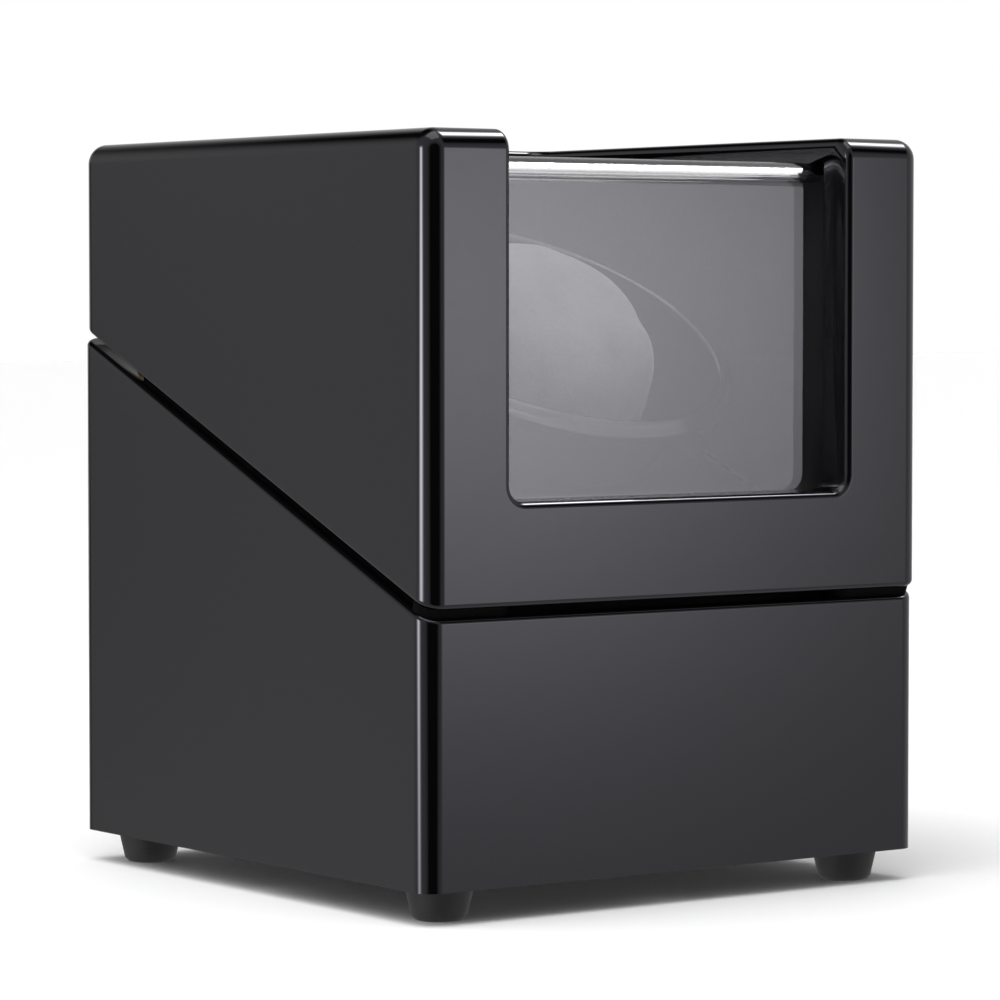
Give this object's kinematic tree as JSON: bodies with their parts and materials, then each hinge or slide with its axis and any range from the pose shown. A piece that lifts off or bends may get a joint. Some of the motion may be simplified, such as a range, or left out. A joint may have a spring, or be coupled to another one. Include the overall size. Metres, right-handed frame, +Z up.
{
  "type": "watch winder box",
  "caption": "Black lacquered watch winder box with a hinged wedge lid, a bent clear window and a tilted motor-driven cup that turns a watch pillow.",
  "frame": {"origin": "on the table under the middle of the box, in the plane of the foot bottoms", "axes": "+Z up, -Y towards the window and the viewer, +X to the right seen from the front"},
  "size_m": [0.12, 0.1274, 0.1484],
  "materials": {
    "black_lacquer": "piano lacquer over fibreboard",
    "clear_acrylic": "clear polished acrylic",
    "foot_rubber": "matt",
    "belt_rubber": "matt",
    "bare_fibreboard": "raw fibreboard",
    "black_board": "painted matt black",
    "zinc_screw": "zinc plated",
    "hinge_brass": "polished brass",
    "steel_rod": "ground",
    "black_velvet": "short pile",
    "gloss_black_plastic": "gloss moulded",
    "pillow_cloth": "soft napped cloth over foam",
    "white_nylon": "moulded nylon",
    "bronze_bush": "sintered bronze",
    "bearing_plastic": "moulded black",
    "chassis_steel": "zinc coated sheet",
    "circuit_board": "solder mask",
    "lamp_lens": "tinted lens"
  },
  "bodies": {
    "base": {"base_case": "black_lacquer", "bottom_board": "black_board", "bottom_screws": "zinc_screw", "rubber_feet": "foot_rubber", "foot_screws": "zinc_screw", "lid_bumpers": "foot_rubber", "hinge_leaves_base": "hinge_brass", "hinge_pins": "steel_rod", "hinge_screws_base": "hinge_brass", "deck_board": "bare_fibreboard", "deck_lining": "black_velvet", "deck_cleats": "bare_fibreboard", "deck_screws": "zinc_screw", "seam_lip": "black_velvet", "thrust_washer": "white_nylon", "upper_bush": "bronze_bush", "lower_bush": "bronze_bush", "bearing_housing": "bearing_plastic", "housing_screws": "zinc_screw", "chassis_plate": "chassis_steel", "chassis_standoffs": "chassis_steel", "chassis_screws": "zinc_screw", "drive_belt": "belt_rubber", "gearbox_case": "chassis_steel", "motor_can": "chassis_steel", "motor_end_cap": "bearing_plastic", "motor_screws": "zinc_screw", "control_plate": "bearing_plastic", "control_plate_screws": "zinc_screw", "control_board": "circuit_board", "board_screws": "zinc_screw", "board_spacers": "white_nylon", "board_components": "bearing_plastic", "mode_switch": "bearing_plastic", "dc_socket": "bearing_plastic", "dc_socket_pin": "steel_rod", "status_lamp": "lamp_lens"},
    "lid": {"lid_case": "black_lacquer", "window_pane": "clear_acrylic", "lid_side_linings": "black_velvet", "lid_rear_lining": "black_velvet", "hinge_leaves_lid": "hinge_brass", "hinge_screws_lid": "hinge_brass"},
    "drum": {"drum_cup": "gloss_black_plastic", "cup_rim": "gloss_black_plastic", "cup_screw": "zinc_screw", "cup_pad": "black_velvet", "spindle": "steel_rod", "spindle_clip": "steel_rod", "drum_pulley": "white_nylon"},
    "pillow": {"watch_pillow": "pillow_cloth"},
    "motor_rotor": {"motor_pulley": "white_nylon", "motor_shaft": "steel_rod"},
    "knob": {"mode_knob": "bearing_plastic"}
  },
  "joints": [
    {"name": "lid_hinge", "type": "hinge", "parent": "base", "child": "lid", "pos_m": [0, 0.06155, 0.10944], "axis": [-1, 0, 0], "range_deg": [0, 95]},
    {"name": "drum_spin", "type": "hinge", "parent": "base", "child": "drum", "pos_m": [0, 0.00436, 0.07729], "axis": [0, -0.5, 0.866], "continuous": true},
    {"name": "pillow_lift", "type": "slide", "parent": "drum", "child": "pillow", "axis": [0, -0.5, 0.866], "range_m": [0, 0.008]},
    {"name": "motor_spin", "type": "hinge", "parent": "base", "child": "motor_rotor", "pos_m": [0.035, 0.01076, 0.0662], "axis": [0, -0.5, 0.866], "continuous": true},
    {"name": "mode_turn", "type": "hinge", "parent": "base", "child": "knob", "pos_m": [-0.03, 0.05395, 0.0344], "axis": [0, -1, 0], "range_deg": [0, 120]}
  ],
  "couplings": [
    {"joint": "motor_spin", "follows": "drum_spin", "ratio": 4}
  ]
}
